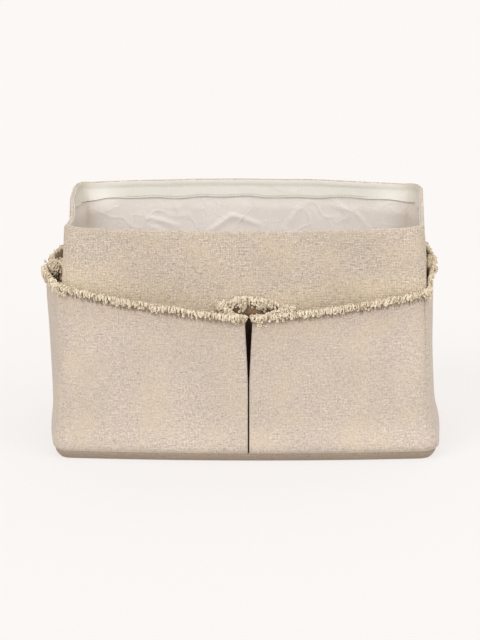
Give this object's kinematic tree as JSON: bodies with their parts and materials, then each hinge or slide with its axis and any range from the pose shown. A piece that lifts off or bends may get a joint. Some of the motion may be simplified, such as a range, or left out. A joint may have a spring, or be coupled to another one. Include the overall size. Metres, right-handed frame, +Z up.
{
  "type": "fabric storage bin",
  "caption": "Open-topped fabric storage bin of natural canvas with a white cotton lining and a pleated, raw-edged pocket band on each wall.",
  "frame": {"origin": "on the floor, under the middle of the base", "axes": "+X along the long front to the right, +Y from the front wall to the back wall, +Z up out of the mouth"},
  "size_m": [0.4048, 0.2882, 0.238],
  "materials": {
    "canvas": "natural undyed slub canvas, matt",
    "pocket_canvas": "natural undyed slub canvas, matt, a little smoother",
    "fray": "loose cream cotton yarn ends, matt",
    "lining": "plain-woven off-white cotton, matt",
    "facing": "plain-woven white cotton strip, matt",
    "thread": "spun sewing thread, off-white",
    "board": "grey pressed pulp board, matt"
  },
  "bodies": {
    "root": {"front_wall": "canvas", "front_lining": "lining", "front_facing": "facing", "front_pocket": "pocket_canvas", "front_pocket_fray": "fray", "front_pleat_tack": "thread", "right_wall": "canvas", "right_lining": "lining", "right_facing": "facing", "right_pocket": "pocket_canvas", "right_pocket_fray": "fray", "right_pleat_tack": "thread", "back_wall": "canvas", "back_lining": "lining", "back_facing": "facing", "back_pocket": "pocket_canvas", "back_pocket_fray": "fray", "back_pleat_tack": "thread", "left_wall": "canvas", "left_lining": "lining", "left_facing": "facing", "left_pocket": "pocket_canvas", "left_pocket_fray": "fray", "left_pleat_tack": "thread", "facing_stitching": "thread", "base_panel": "canvas", "base_board": "board", "base_lining": "lining"}
  },
  "joints": []
}
